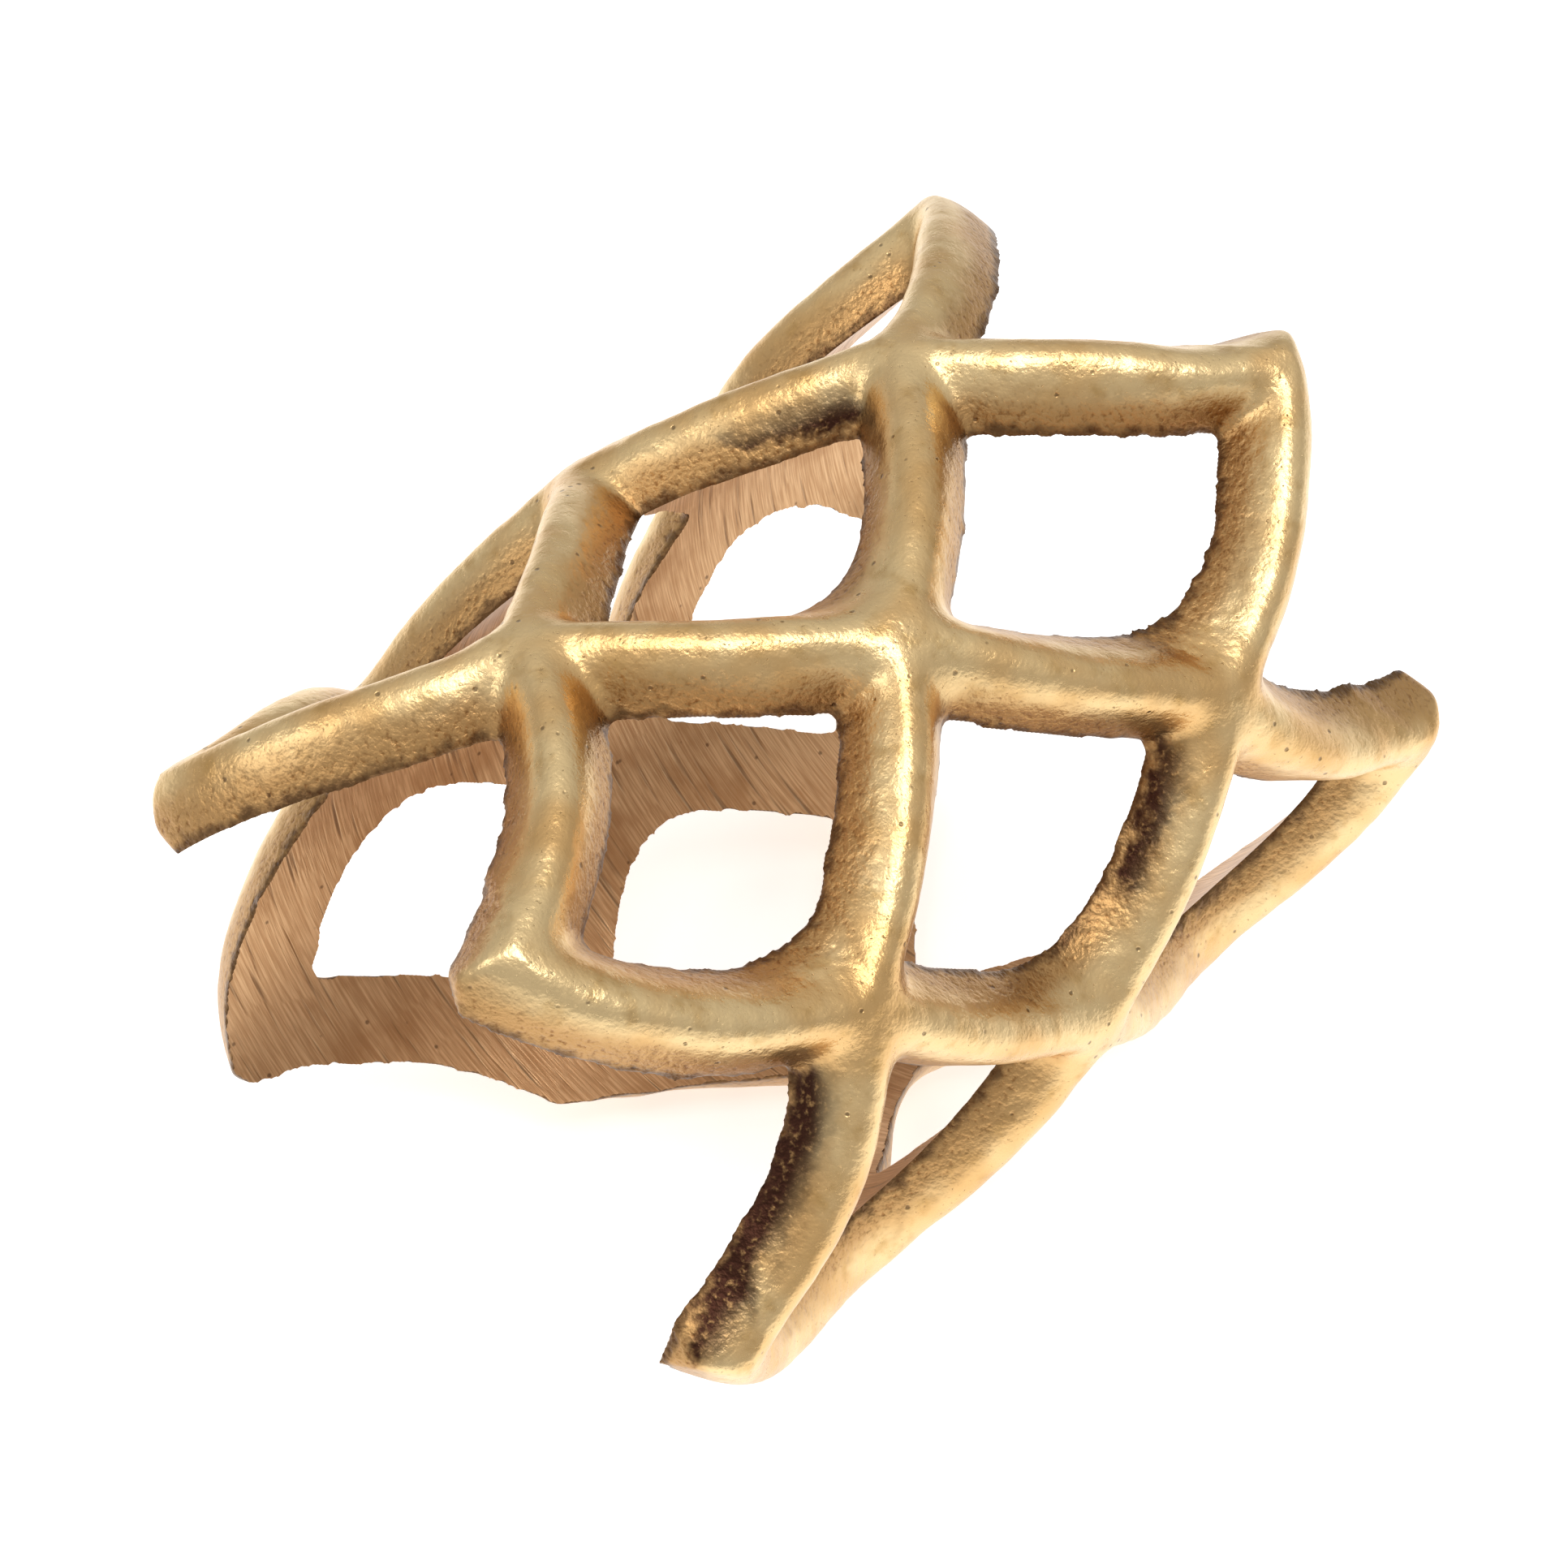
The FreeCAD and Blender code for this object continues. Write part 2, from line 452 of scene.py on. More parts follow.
# %% Turn the distance into a section
SWELL_FADE = 0.28        # the swelling loses this share for each mm from the crossing
FLASH_GAP = 0.08         # below this the flash broke off
FLASH_BREAK = -0.12      # and took this much of its height with it
FLAT_EDGE = 0.5          # softness of the edge round a tip's flat, mm


def section(off_line, crossing, h, uneven, size):
    """How far outside a bar's section the point is, mm."""
    crest = size["Wall"] + size["Crossing rise"] * (crossing * -SWELL_FADE + 1.0).do("MAXIMUM", 0.0)
    dents = uneven["dents"] * size["Dents"] + uneven["ripples"] * size["Ripples"]
    flash = size["Flash"] * ((h / size["Flash height"]) * -1.0).do("EXPONENT")
    ragged = (uneven["flash"] - FLASH_GAP).do("MAXIMUM", FLASH_BREAK)
    half_width = size["Half width at the bore"] - h * size["Side slope"] + dents + flash * ragged
    side = (off_line - half_width) / (size["Side slope"] * size["Side slope"] + 1.0).do("SQRT")
    arch = off_line * off_line / (size["Crown radius"] * 2.0)
    crown = h - (crest + dents) + arch
    return side.do("SMOOTH_MAX", crown, size["Shoulder softness"])


print("crest", WALL, "mm above the bore")

# %% [markdown]
# ## From the field to a mesh
#
# Volume Cube fills a flat box with the field, Volume to Mesh draws the surface where it is nought, and
# the strip is wrapped round the bore. The box holds a little more than one turn. The faces of one turn
# are kept, and their first and last points then fall on one another and are merged.

# %% Draw the surface and wrap it
VOXELS_ROUND = 700
VOXEL = GIRTH / VOXELS_ROUND
SPARE = 5                # voxels beyond each end of the strip
STRIP_START = -0.5 * COLUMN + 0.37 * VOXEL  # between two columns, and on no voxel's edge
HALF_LENGTH = 32.4       # the box reaches this far along the ring, mm
BOX_FLOOR, BOX_TOP = -0.8, 4.8  # mm above the bore
METRE = 0.001            # a millimetre, in metres
JOIN = 0.00001           # metres


def draw_skin(tree, metal, u, wrapped):
    """The mesh where the field is nought, one turn of it, wrapped and joined."""
    low_corner = (STRIP_START - SPARE * VOXEL, -HALF_LENGTH, BOX_FLOOR)
    counts = (
        VOXELS_ROUND + 2 * SPARE + 1,
        round(2 * HALF_LENGTH / VOXEL) + 1,
        round((BOX_TOP - BOX_FLOOR) / VOXEL) + 1,
    )
    high_corner = tuple(c + (n - 1) * VOXEL for c, n in zip(low_corner, counts))
    volume = add(tree, "GeometryNodeVolumeCube", {
        "Density": metal * -1.0, "Background": -1.0, "Min": low_corner, "Max": high_corner,
        "Resolution X": counts[0], "Resolution Y": counts[1], "Resolution Z": counts[2],
    })
    skin = add(tree, "GeometryNodeVolumeToMesh", {
        "Volume": volume.outputs[0], "Threshold": 0.0, "Adaptivity": 0.0,
    }, resolution_mode="GRID")
    middle = add(tree, "GeometryNodeFieldOnDomain", [u], domain="FACE", data_type="FLOAT")
    inside = Sum(tree, middle.outputs[0])
    spare = inside.do("LESS_THAN", STRIP_START) + inside.do("GREATER_THAN", STRIP_START + GIRTH)
    strip = add(tree, "GeometryNodeDeleteGeometry", {
        "Geometry": skin.outputs[0], "Selection": spare,
    }, domain="FACE")
    metres = add(tree, "ShaderNodeVectorMath", [wrapped, (METRE, METRE, METRE)], operation="MULTIPLY")
    ring = add(tree, "GeometryNodeSetPosition", {
        "Geometry": strip.outputs[0], "Position": metres.outputs[0],
    })
    return add(tree, "GeometryNodeMergeByDistance", {
        "Geometry": ring.outputs[0], "Distance": JOIN,
    })


print(f"voxels of {VOXEL:.2f} mm")

# %% [markdown]
# ## The whole tree
#
# Each step above adds its nodes, and this one joins them: from the wires to the distance, from the
# distance to the section, the flats ground across the tips, the back ground to the bore, and the mesh.

# %% Build the tree


def casting_tree():
    tree = bpy.data.node_groups.new("cast_lattice", "GeometryNodeTree")
    group, size = name_inputs(tree)
    u, v, h, wrapped = wrap(tree)
    uneven = chance(tree, wrapped, size["Seed"])
    u_hand, up_hand, reach = before_bending(tree, u, v, wrapped, uneven, size)

    rising_bar, falling_bar = nearest_bars(tree, group.outputs["Geometry"], u_hand, up_hand)
    rising, falling = rising_bar[2], falling_bar[2]
    soft = fillet_between(tree, rising_bar, falling_bar, h, size)
    off_line, past_tip = turn_at_tips(rising.do("SMOOTH_MIN", falling, soft), u_hand, up_hand)

    bar = section(off_line, rising.do("MAXIMUM", falling), h, uneven, size)
    metal = bar.do("SMOOTH_MAX", past_tip - reach, FLAT_EDGE).do("MAXIMUM", h * -1.0)
    joined = draw_skin(tree, metal, u, wrapped)
    real = add(tree, "GeometryNodeRealizeInstances", [joined.outputs[0]])
    finish = add(tree, "GeometryNodeSetMaterial", {
        "Geometry": real.outputs[0], "Material": group.outputs["Metal"],
    })
    add(tree, "NodeGroupOutput", [finish.outputs[0]])
    return tree


casting = casting_tree()
print(len(casting.nodes), "nodes in the casting's tree")

# %% [markdown]
# ## The colours of the brass
#
# Brass for casting is a yellow alloy of copper and zinc. Where the crown was polished it is pale and
# smooth, and only softly scratched. The walls keep the skin they got from the sand, which is rough,
# darker and full of small pits. The back was ground on a belt, so it is pinker and covered in fine
# parallel scratches. All of it is bare metal, so it is fully metallic, and its colour is the colour of
# its reflections. A few stretches of wall have a dark reflection painted into their colour, nearly
# black, and the walls next to the bore are darkened with painted shade.

# %% Colours, and where dark reflections are painted


def linear(hex_code):
    """An sRGB hex colour as linear red, green, blue and alpha."""
    channels = [int(hex_code[n:n + 2], 16) / 255 for n in (1, 3, 5)]
    return (*[c / 12.92 if c <= 0.04045 else ((c + 0.055) / 1.055) ** 2.4 for c in channels], 1.0)


POLISHED = "#ebcd98"
POLISHED_DEEP = "#dcb277"
OLIVE_TARNISH = "#b98f4e"
CAST_SKIN = "#bb925f"
DARK_SKIN = "#8c6339"
# brown of the painted shade by the bore and of the painted dark reflections, and of real pits and belt
# gouges
PAINTED_SHADE_AND_MARK_BROWN = "#3d251c"
GROUND = "#dcb58a"
GROUND_DEEP = "#a87c53"
# painted dark reflections: stretches of wall coloured nearly black where the polished walls mirror
# something dark
PAINTED_DARK_REFLECTIONS = (
    # both ends of a stretch, each as (column, mm along, mm above the bore), and its radius in mm
    ((1.1, 9.5, 2.0), (1.45, 4.5, 2.0), 1.8),
    ((1.2, -18.0, 1.9), (1.93, -28.0, 1.9), 1.9),
    ((-1.05, 10.2, 1.9), (-1.35, 6.3, 1.9), 1.8),
)
PAINTED_REFLECTION_EDGE = 0.55        # inside this share of its radius a stretch is quite dark
MM = 1000.0              # millimetres in a metre
print("polished brass, linear:", [round(c, 2) for c in linear(POLISHED)])

# %% [markdown]
# ## Patterns in the metal
#
# Sand, polishing wheel and belt each leave marks of their own size. Casting sand has grains of about
# 0.3 mm, and so has the skin. A wheel's marks are only hundredths of a millimetre, too fine to show, so
# they are drawn at 0.2 mm. A belt's scratches are 0.1 mm wide and many times as long, which is noise
# squeezed one way. They run at a slant over the back, unrolled so that they follow its curve.

# %% Clouds of noise
BELT_PASSES = (
    # name, slant in degrees, features per mm along a scratch and across it
    ("belt", 62.0, 0.3, 8.0),
    ("second belt", 80.0, 0.25, 6.0),
    ("gouge", 70.0, 0.12, 2.2),
)
CLOUDS = (
    # name, the space it lies in, features per mm, detail
    ("patches", "metal", 0.2, 2.0),
    ("stains", "metal", 0.25, 3.0),
    ("lumps", "metal", 1.1, 3.0),
    ("tarnish", "metal", 0.7, 4.0),
    ("grit", "metal", 3.2, 4.0),
    ("polish marks", "metal", 4.5, 5.0),
    ("scratches", "belt", 1.0, 4.0),
    ("more scratches", "second belt", 1.0, 4.0),
    ("gouges", "gouge", 1.0, 2.0),
)


def clouds(tree, spot, x, y, z):
    """Every pattern by its name, each a number between nought and one."""
    back = add(tree, "ShaderNodeCombineXYZ", [
        (x * -1.0).do("ARCTAN2", z * -1.0) * BORE, y, 0.0,
    ]).outputs[0]
    spaces = {"metal": spot}
    for name, slant, along, across in BELT_PASSES:
        spaces[name] = add(tree, "ShaderNodeMapping", {
            "Vector": back, "Rotation": (0.0, 0.0, math.radians(slant)), "Scale": (along, across, 1.0),
        }).outputs[0]
    cloud = {}
    for name, space, scale, detail in CLOUDS:
        texture = add(tree, "ShaderNodeTexNoise", {
            "Vector": spaces[space], "Scale": scale, "Detail": detail,
        })
        cloud[name] = Sum(tree, texture.outputs[0])
    return cloud


print(len(CLOUDS), "patterns")

# %% [markdown]
# ## Painted dark reflections and pits
#
# A stretch of painted dark reflection is everything near a short line inside the wall, measured in
# shares of its radius so that stretches of any size can be put together. Pits are gas bubbles that
# opened in the skin: round spots in about a fifth of the cells of a Voronoi pattern, whose cells are
# about 0.9 mm across.

# %% Measure how near a point is to a dark stretch, and find the pits
BUBBLES_PER_MM = 1.1
BUBBLE_CHANCE = 0.8      # cells whose random number is above this have a pit


def nearness_to_painted_reflection(tree, spot):
    """How far off the nearest stretch of painted dark reflection is, as a share of that stretch's
    radius.
    """
    stretches = []
    for start, end, reach in PAINTED_DARK_REFLECTIONS:
        a, b = Vector(on_ring(*start)), Vector(on_ring(*end))
        from_a = add(tree, "ShaderNodeVectorMath", [spot, tuple(a)], operation="SUBTRACT").outputs[0]
        along = add(tree, "ShaderNodeVectorMath", [
            from_a, tuple((b - a) / (b - a).length_squared),
        ], operation="DOT_PRODUCT")
        share = Sum(tree, along.outputs["Value"]).do("MAXIMUM", 0.0).do("MINIMUM", 1.0)
        foot = add(tree, "ShaderNodeVectorMath", {0: tuple(b - a), "Scale": share}, operation="SCALE")
        away = add(tree, "ShaderNodeVectorMath", [from_a, foot.outputs[0]], operation="DISTANCE")
        stretches.append(Sum(tree, away.outputs["Value"]) / reach)
    burnt = stretches[0]
    for stretch in stretches[1:]:
        burnt = burnt.do("MINIMUM", stretch)
    return burnt


def open_bubbles(tree, spot):
    """How far off the middle of a bubble is, and whether this cell's bubble opened."""
    bubbles = add(tree, "ShaderNodeTexVoronoi", {"Vector": spot, "Scale": BUBBLES_PER_MM})
    colour = add(tree, "ShaderNodeSeparateXYZ", [bubbles.outputs["Color"]])
    opened = Sum(tree, colour.outputs[0]).do("GREATER_THAN", BUBBLE_CHANCE)
    return Sum(tree, bubbles.outputs["Distance"]), opened


print(len(PAINTED_DARK_REFLECTIONS), "dark stretches")

# %% [markdown]
# ## Masks
#
# A mask is a number that goes from nought to one between two limits, and says where a finish, a
# stain, painted shade or a painted dark reflection lies. Which of the three surfaces a point is on
# follows from how far it is from the bore and whether it faces outward, along the wall or inward.
# Noise added to a limit makes its edge wander.

# %% Make the masks


def masks(tree, cloud, above_bore, outward, burnt, bubble):
    """Every mask by its name."""
    mask = {}
    for name, value, low, high in (
        ("crown", above_bore + (cloud["patches"] - 0.5) * 1.6, 1.0, 2.2),
        ("faces out", outward, 0.35, 0.7),
        ("faces in", outward, -0.55, -0.85),
        ("at the bore", above_bore, 0.5, 0.25),
        ("dark grit", cloud["grit"], 0.5, 0.25),
        # where dark reflections are painted on a few stretches of wall
        ("burnt", burnt + (cloud["lumps"] - 0.5), 1.0, PAINTED_REFLECTION_EDGE),
        ("burnt grit", cloud["grit"], 0.9, 0.52),
        # painted shade, strongest on the walls next to the bore
        ("rim", above_bore + (cloud["lumps"] - 0.5) * 1.6, 0.9, 0.1),
        ("deep polish", cloud["patches"], 0.35, 0.7),
        ("tarnish", cloud["tarnish"], 0.5, 0.8),
        ("other slant", cloud["patches"], 0.47, 0.53),
        ("scratches", cloud["scratches"], 0.3, 0.65),
        ("more scratches", cloud["more scratches"], 0.3, 0.65),
        ("gouges", cloud["gouges"], 0.58, 0.72),
        ("stains", cloud["stains"], 0.5, 0.72),
        ("bubble", bubble, 0.2, 0.08),
        ("fine pits", cloud["polish marks"], 0.34, 0.26),
    ):
        step = add(tree, "ShaderNodeMapRange", {
            "Value": value, "From Min": low, "From Max": high,
        }, interpolation_type="SMOOTHSTEP")
        mask[name] = Sum(tree, step.outputs[0])
    return mask


print("a painted dark reflection is darkest within", PAINTED_REFLECTION_EDGE, "of its radius")

# %% [markdown]
# ## Colours laid over one another
#
# Each surface is a bottom colour with stains laid over it one by one, and on the walls also painted
# shade and painted dark reflections. The three surfaces are then laid over one another in the same
# way, the pits last. A short list for each keeps the order in sight.

# %% Lay the colours
SHARE, UNDER, OVER, MIXED = 0, 6, 7, 2  # a Mix node's sockets when it mixes colours


def lay(tree, bottom, layers):
    """A colour with others laid over it, each given as (where it lies, its colour)."""
    colour = bottom
    for share, layer in layers:
        colour = add(tree, "ShaderNodeMix", {
            SHARE: share, UNDER: colour, OVER: layer,
        }, data_type="RGBA").outputs[MIXED]
    return colour


def brass_colour(tree, mask, polished, ground, scratches, pits):
    skin = lay(tree, linear(CAST_SKIN), (
        (mask["dark grit"], linear(DARK_SKIN)),
        # painted shade: the walls darken towards the bore
        (mask["rim"] * 0.75, linear(PAINTED_SHADE_AND_MARK_BROWN)),
        # painted dark reflections on a few stretches of wall
        (mask["burnt"] * mask["burnt grit"], linear(PAINTED_SHADE_AND_MARK_BROWN)),
    ))
    crown = lay(tree, linear(POLISHED), (
        (mask["deep polish"], linear(POLISHED_DEEP)),
        (mask["tarnish"] * 0.6, linear(OLIVE_TARNISH)),
    ))
    back = lay(tree, linear(GROUND), (
        (scratches * 0.7, linear(GROUND_DEEP)),
        (mask["stains"] * 0.6, linear(GROUND_DEEP)),
        (mask["gouges"] * 0.5, linear(PAINTED_SHADE_AND_MARK_BROWN)),
    ))
    return lay(tree, skin, ((polished, crown), (ground, back), (pits * 0.6, linear(PAINTED_SHADE_AND_MARK_BROWN))))


print("pits and painted shade, linear:", [round(c, 3) for c in linear(PAINTED_SHADE_AND_MARK_BROWN)])

# %% [markdown]
# ## The material
#
# Everything meets in one Principled shader, with brass's own high reflectance and no coat. Relief is a
# height in tenths of a millimetre for each surface: sand is coarse, the wheel left soft lumps and fine
# pits, and the belt its scratches and gouges. The crown is a little smoother than the rest.

# %% Put the brass together
TENTH = 0.0001           # the height that a relief of one stands for, metres
ROUGH_SKIN, SMOOTHER_CROWN = 0.36, -0.08


def brass_material():
    material = bpy.data.materials.new("cast_brass")
    material.use_nodes = True
    tree = material.node_tree
    tree.nodes.clear()
    place = add(tree, "ShaderNodeTexCoord").outputs["Object"]
    spot = add(tree, "ShaderNodeVectorMath", [place, (MM, MM, MM)], operation="MULTIPLY").outputs[0]
    parts = add(tree, "ShaderNodeSeparateXYZ", [spot])
    x, y, z = (Sum(tree, parts.outputs[n]) for n in range(3))
    radius = (x * x + z * z).do("SQRT")
    above_bore = radius - BORE
    facing = add(tree, "ShaderNodeSeparateXYZ", [add(tree, "ShaderNodeNewGeometry").outputs["Normal"]])
    outward = (Sum(tree, facing.outputs[0]) * x + Sum(tree, facing.outputs[2]) * z) / radius

    cloud = clouds(tree, spot, x, y, z)
    bubble, opened = open_bubbles(tree, spot)
    mask = masks(tree, cloud, above_bore, outward, nearness_to_painted_reflection(tree, spot), bubble)
    polished = mask["crown"] * mask["faces out"]
    ground = mask["faces in"] * mask["at the bore"]
    pits = mask["bubble"] * opened
    scratches = mask["scratches"]
    scratches = scratches + (mask["more scratches"] - scratches) * mask["other slant"]

    # relief of each surface, then of the one that the point is on
    belt = scratches * -0.08 - mask["gouges"] * 0.3
    sand = cloud["grit"] * 0.9 + cloud["lumps"] * 0.9
    wheel = cloud["lumps"] * 0.75 + cloud["polish marks"] * 0.34 - mask["fine pits"] * 0.4
    cast = sand + (wheel - sand) * polished - pits * 0.4
    relief = cast + (belt - cast) * ground
    bump = add(tree, "ShaderNodeBump", {"Strength": 1.0, "Distance": TENTH, "Height": relief})

    shader = add(tree, "ShaderNodeBsdfPrincipled", {
        "Base Color": brass_colour(tree, mask, polished, ground, scratches, pits),
        "Metallic": 1.0,
        "Roughness": polished * SMOOTHER_CROWN + ROUGH_SKIN + (cloud["lumps"] - 0.5) * 0.12,
        "Normal": bump.outputs[0],
    })
    add(tree, "ShaderNodeOutputMaterial", [shader.outputs[0]])
    return material


brass = brass_material()
print(len(brass.node_tree.nodes), "nodes in the brass")

# %% [markdown]
# ## Make the casting
#
# The modifier's inputs are set by their sockets' identifiers before the object is first evaluated.
# The result is made into a plain mesh, and the wire lattice has done its work.

# %% Give the lattice its body


def inputs_of(group):
    return {s.name: s.identifier for s in group.interface.items_tree if s.in_out == "INPUT"}


shape = lattice.modifiers.new("cast_lattice", "NODES")
shape.node_group = casting
shape[inputs_of(casting)["Seed"]] = SEED
shape[inputs_of(casting)["Metal"]] = brass
evaluated = lattice.evaluated_get(bpy.context.evaluated_depsgraph_get())
whole = bpy.data.meshes.new_from_object(evaluated)
lattice.modifiers.remove(shape)
bpy.data.objects.remove(lattice)
print(len(whole.polygons), "faces in the whole casting")

# %% [markdown]
# ## Cut it into its bars
#
# The casting is handed on as the same bars that the CAD model has. Planes through the columns and
# across the three inner rows cut its faces, and each bar's open side is closed by a flat cap inside
# the metal. The normals are read while the casting is still whole, so that the light runs over each
# cut as if it weren't there.

# %% Cut the casting along its columns and rows
SHARP = math.radians(50.0)
SNAP = 5e-6              # metres: a point this near to a plane is put on it
SAME_PLACE = 1e-7        # metres: two points this near to each other are one
ON_PLANE = 2e-6          # metres: an edge this near to a plane belongs to its cut
NO_AREA = 1e-13          # square metres: a face smaller than this is no face
planes = [(Vector((0, y / MM, 0)), Vector((0, 1, 0))) for y in (-ROWS[1], 0.0, ROWS[1])]
for column in range(COLUMNS // 2):
    angle = FIRST_ANGLE + 2 * math.pi * column / COLUMNS
    planes.append((Vector((0, 0, 0)), Vector((math.cos(angle), 0, -math.sin(angle)))))

knife = bmesh.new()
knife.from_mesh(whole)
for point, normal in planes:
    # a point just beside a plane would leave an edge too short to close, so it is put on the plane
    for vert in knife.verts:
        off = (vert.co - point).dot(normal)
        if abs(off) < SNAP:
            vert.co -= normal * off
    bmesh.ops.remove_doubles(knife, verts=knife.verts[:], dist=SAME_PLACE)
    everything = [*knife.verts, *knife.edges, *knife.faces]
    bmesh.ops.bisect_plane(
        knife, geom=everything, plane_co=point, plane_no=normal, dist=SAME_PLACE,
    )
bmesh.ops.triangulate(knife, faces=knife.faces[:])
knife.to_mesh(whole)
knife.free()
whole.shade_smooth()
whole.set_sharp_from_angle(angle=SHARP)


def numbers(items, attribute, per_item, kind=np.float32):
    """One attribute of many mesh elements, as an array."""
    values = np.zeros(len(items) * per_item, kind)
    items.foreach_get(attribute, values)
    return values


points = numbers(whole.vertices, "co", 3).reshape(-1, 3)
triangles = numbers(whole.loops, "vertex_index", 1, np.int32).reshape(-1, 3)
normals = numbers(whole.corner_normals, "vector", 3).reshape(-1, 3, 3)

middles = points[triangles].mean(1)
turns = (np.arctan2(middles[:, 0], middles[:, 2]) - FIRST_ANGLE) / (2 * math.pi)
face_column = np.floor(turns * COLUMNS).astype(int) % COLUMNS
face_band = np.digitize(middles[:, 1] * MM, [-ROWS[1], 0.0, ROWS[1]]) - 2
beside_bare = (face_column == BARE_COLUMN) | (face_column == BARE_COLUMN - 1)
face_band[beside_bare] = np.clip(face_band[beside_bare], -1, 0)
print(len(triangles), "triangles to share out")

# %% Cap each bar and give it the casting's normals
BANDS = {-2: "front_tip", -1: "front", 0: "back", 1: "back_tip"}


def close_cuts(piece):
    """Fills the open cuts of a bar with flat caps, one plane at a time."""
    open_edges = [e for e in piece.edges if e.is_boundary]
    for point, normal in planes:
        rim = [
            e for e in open_edges
            if e.is_boundary and all(abs((v.co - point).dot(normal)) < ON_PLANE for v in e.verts)
        ]
        tally = Counter(v for e in rim for v in e.verts)
        ends = [v for v, count in tally.items() if count == 1]
        if len(ends) == 2:
            # at a crossing two cuts meet in a ridge from crest to bore
            ridge = piece.edges.new(ends)
            open_edges.append(ridge)
            rim.append(ridge)
        if rim:
            bmesh.ops.triangle_fill(piece, edges=rim, use_beauty=True)
    # three points in a row on the bore can leave a sliver with no area, which stands outside the cap
    slivers = [
        f for f in piece.faces
        if f.calc_area() < NO_AREA and any(e.is_boundary for e in f.edges)
    ]
    bmesh.ops.delete(piece, geom=slivers, context="FACES")
    bmesh.ops.recalc_face_normals(piece, faces=piece.faces[:])


def make_bar(name, chosen):
    used, local = np.unique(triangles[chosen], return_inverse=True)
    mesh = bpy.data.meshes.new(name)
    mesh.from_pydata(points[used], [], local.reshape(-1, 3))
    kept = mesh.attributes.new("cast_normal", "FLOAT_VECTOR", "CORNER")
    kept.data.foreach_set("vector", normals[chosen].ravel())
    piece = bmesh.new()
    piece.from_mesh(mesh)
    close_cuts(piece)
    still_open = sum(not e.is_manifold for e in piece.edges)
    volume = piece.calc_volume(signed=True)
    piece.to_mesh(mesh)
    piece.free()
    mesh.shade_smooth()
    mesh.set_sharp_from_angle(angle=SHARP)
    wanted = numbers(mesh.attributes["cast_normal"].data, "vector", 3).reshape(-1, 3)
    mesh.normals_split_custom_set(wanted)
    mesh.attributes.remove(mesh.attributes["cast_normal"])
    mesh.materials.append(brass)
    bar = bpy.data.objects.new(name + "_brass", mesh)
    bpy.context.scene.collection.objects.link(bar)
    return bar, still_open, volume


bars = []
open_total, volume_total = 0, 0.0
for band, band_name in BANDS.items():
    for column in range(COLUMNS):
        chosen = (face_column == column) & (face_band == band)
        if chosen.any():
            name = f"{band_name}_bar_{column + 1:02d}"
            bar, still_open, volume = make_bar(name, chosen)
            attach(bar, "root")
            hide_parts(name)
            bars.append(bar)
            open_total += still_open
            volume_total += volume
bpy.data.meshes.remove(whole)
most = max(len(bar.data.polygons) for bar in bars)
print(len(bars), "bars,", open_total, "open edges,", most, "triangles in the biggest")
print(f"{volume_total * 1e9:.0f} cubic mm of brass")

# %% [markdown]
# ## The floor
#
# Pale matt paper. It glows softly under the ring, as a light table does, which keeps the shadow faint
# and lights the undersides of the bars from below. The glow fades out past the ring, so that the far
# floor doesn't show as a bright edge in the polished sides.

# %% Lay the floor
FLOOR_SIDE = 3.0         # metres
CLEARANCE = 0.0005       # metres between the floor and the CAD ring
PAPER = (0.95, 0.95, 0.95, 1.0)
WHITE = (1.0, 1.0, 1.0, 1.0)
TABLE_GLOW = 0.5
GLOW_INNER, GLOW_OUTER = 0.08, 0.15  # metres from the ring's centre where the glow is full, and gone

half = FLOOR_SIDE / 2
lowest = cad_low.z - CLEARANCE
corners = [(x, y, lowest) for x, y in ((-half, -half), (half, -half), (half, half), (-half, half))]
floor_mesh = bpy.data.meshes.new("floor")
floor_mesh.from_pydata(corners, [], [(0, 1, 2, 3)])
floor = bpy.data.objects.new("floor", floor_mesh)
bpy.context.scene.collection.objects.link(floor)

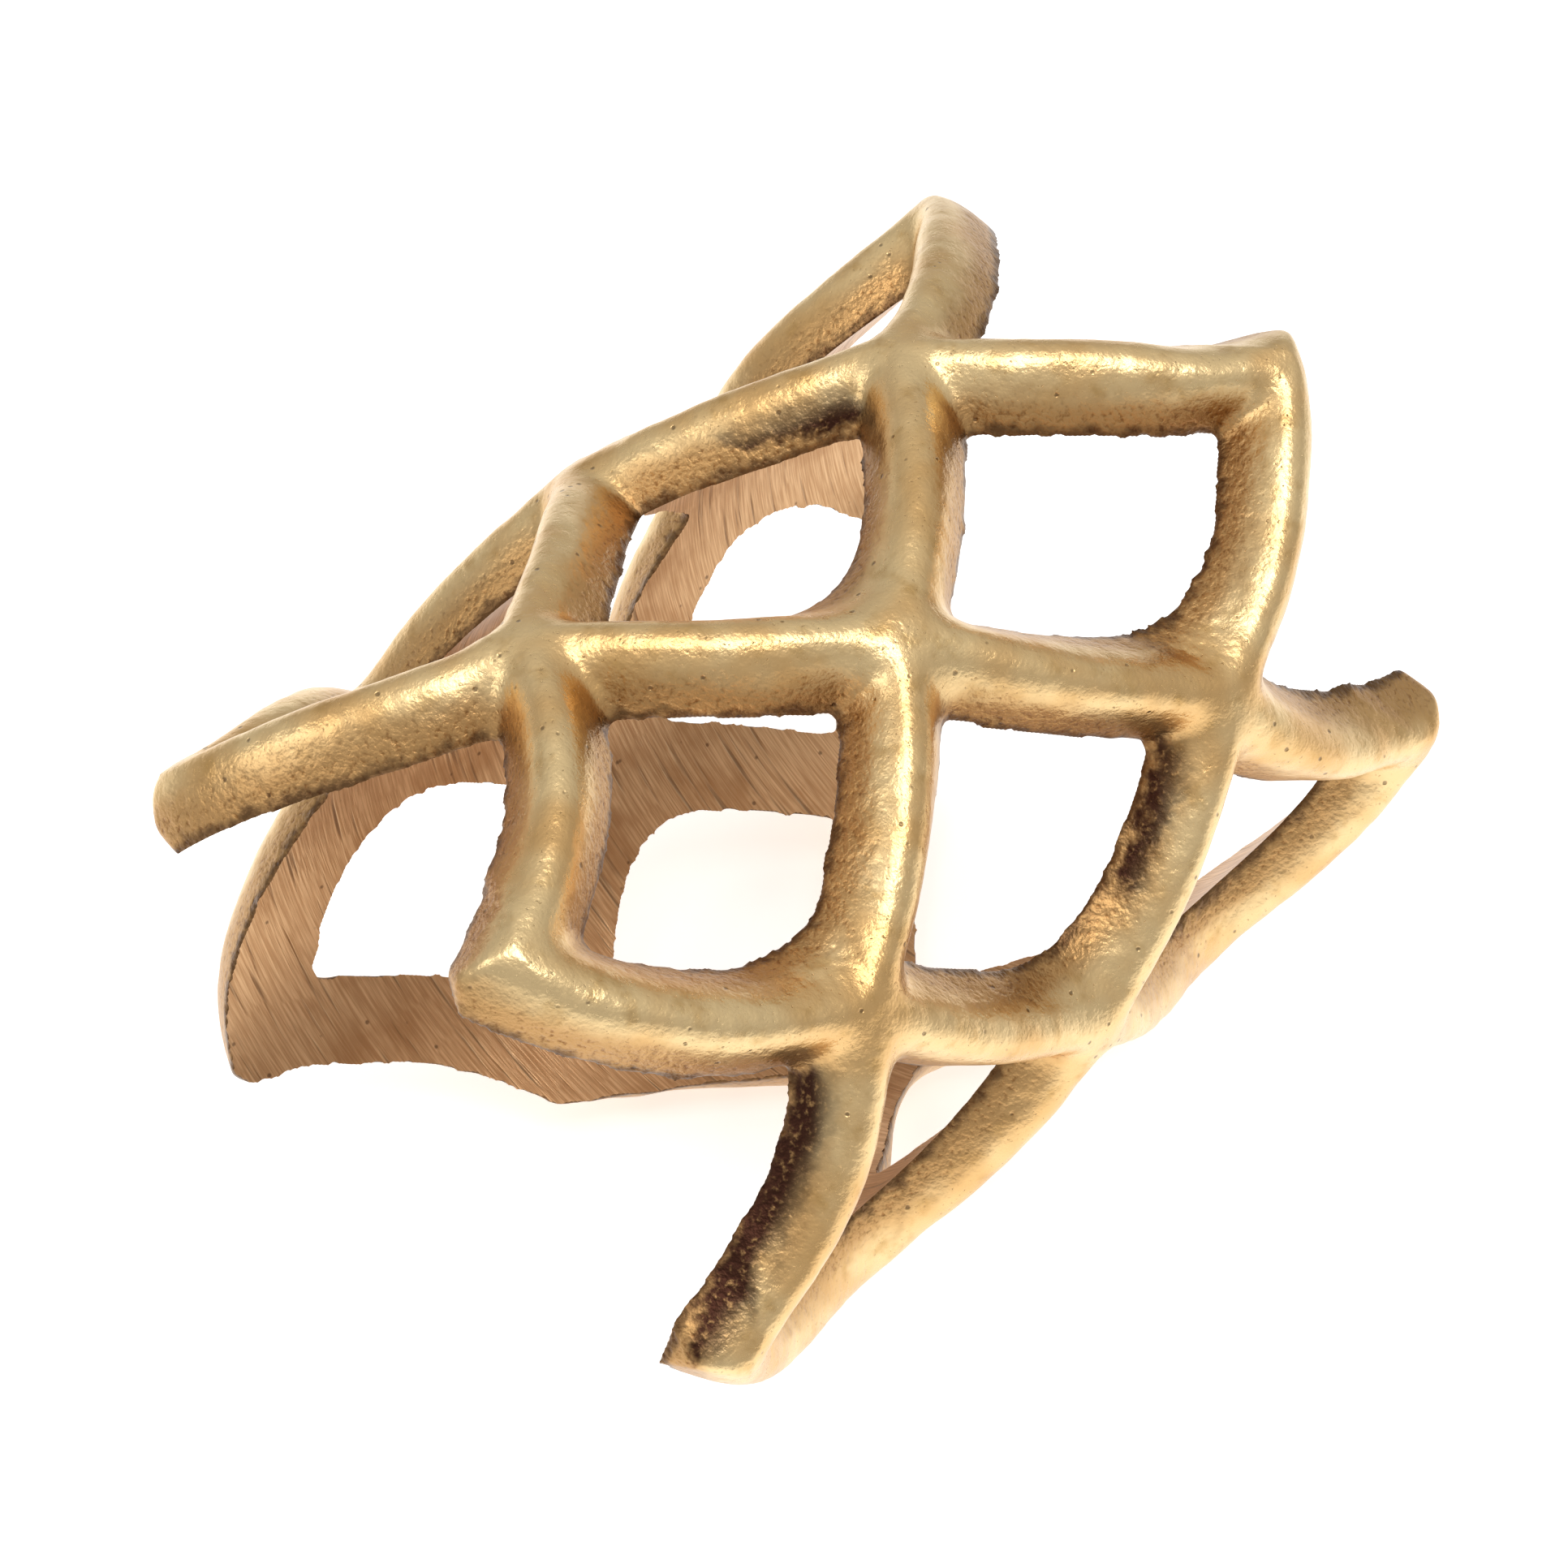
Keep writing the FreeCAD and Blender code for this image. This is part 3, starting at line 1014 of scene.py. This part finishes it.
paper = bpy.data.materials.new("floor_paper")
paper.use_nodes = True
sheet = paper.node_tree
surface = sheet.nodes["Principled BSDF"]
surface.inputs["Base Color"].default_value = PAPER
surface.inputs["Roughness"].default_value = 0.9
surface.inputs["Emission Color"].default_value = WHITE
from_ring = add(sheet, "ShaderNodeVectorMath", [
    add(sheet, "ShaderNodeTexCoord").outputs["Object"],
], operation="LENGTH")
glow = add(sheet, "ShaderNodeMapRange", {
    "Value": from_ring.outputs["Value"], "From Min": GLOW_OUTER, "From Max": GLOW_INNER,
    "To Min": 0.0, "To Max": TABLE_GLOW,
}, interpolation_type="SMOOTHSTEP")
sheet.links.new(glow.outputs[0], surface.inputs["Emission Strength"])
floor_mesh.materials.append(paper)
print(f"floor {1000 * lowest:.1f} mm below the ring's axis")

# %% [markdown]
# ## The light
#
# Three soft panels. Polished metal shows what stands round it, so the panels and the gaps between them
# draw its bright and dark bands: the big one overhead gives the crowns their sheen, and the two small
# ones at the sides pick out the edges. The studio itself is white, and darker towards the horizon,
# which gives the walls their depth.

# %% Hang the lamps
LAMPS = {
    # name: azimuth and elevation in degrees, distance and side in metres, watts
    "overhead": (30.0, 80.0, 0.9, 0.5, 2.1),
    "key": (72.0, 66.0, 0.7, 0.18, 0.45),
    "fill": (-25.0, 35.0, 0.8, 0.3, 0.6),
}
HORIZON, ZENITH = 0.48, 0.8  # strength of the studio's white

for name, (azimuth, elevation, distance, side, watts) in LAMPS.items():
    light = bpy.data.lights.new(name, "AREA")
    light.energy = watts
    light.size = side
    lamp = bpy.data.objects.new(name, light)
    bpy.context.scene.collection.objects.link(lamp)
    a, e = math.radians(azimuth), math.radians(elevation)
    direction = Vector((math.sin(a) * math.cos(e), -math.cos(a) * math.cos(e), math.sin(e)))
    lamp.location = direction * distance
    lamp.rotation_euler = (-direction).to_track_quat("-Z", "Y").to_euler()

world = bpy.data.worlds.new("studio")
world.use_nodes = True
sky = world.node_tree
towards = add(sky, "ShaderNodeSeparateXYZ", [add(sky, "ShaderNodeTexCoord").outputs["Generated"]])
dome = add(sky, "ShaderNodeMapRange", {
    "Value": towards.outputs[2], "From Min": 0.0, "From Max": 1.0,
    "To Min": HORIZON, "To Max": ZENITH,
})
sky.links.new(dome.outputs[0], sky.nodes["Background"].inputs["Strength"])
sky.nodes["Background"].inputs["Color"].default_value = WHITE
bpy.context.scene.world = world
bpy.context.scene.view_settings.view_transform = "Standard"
print(len(LAMPS), "lamps")
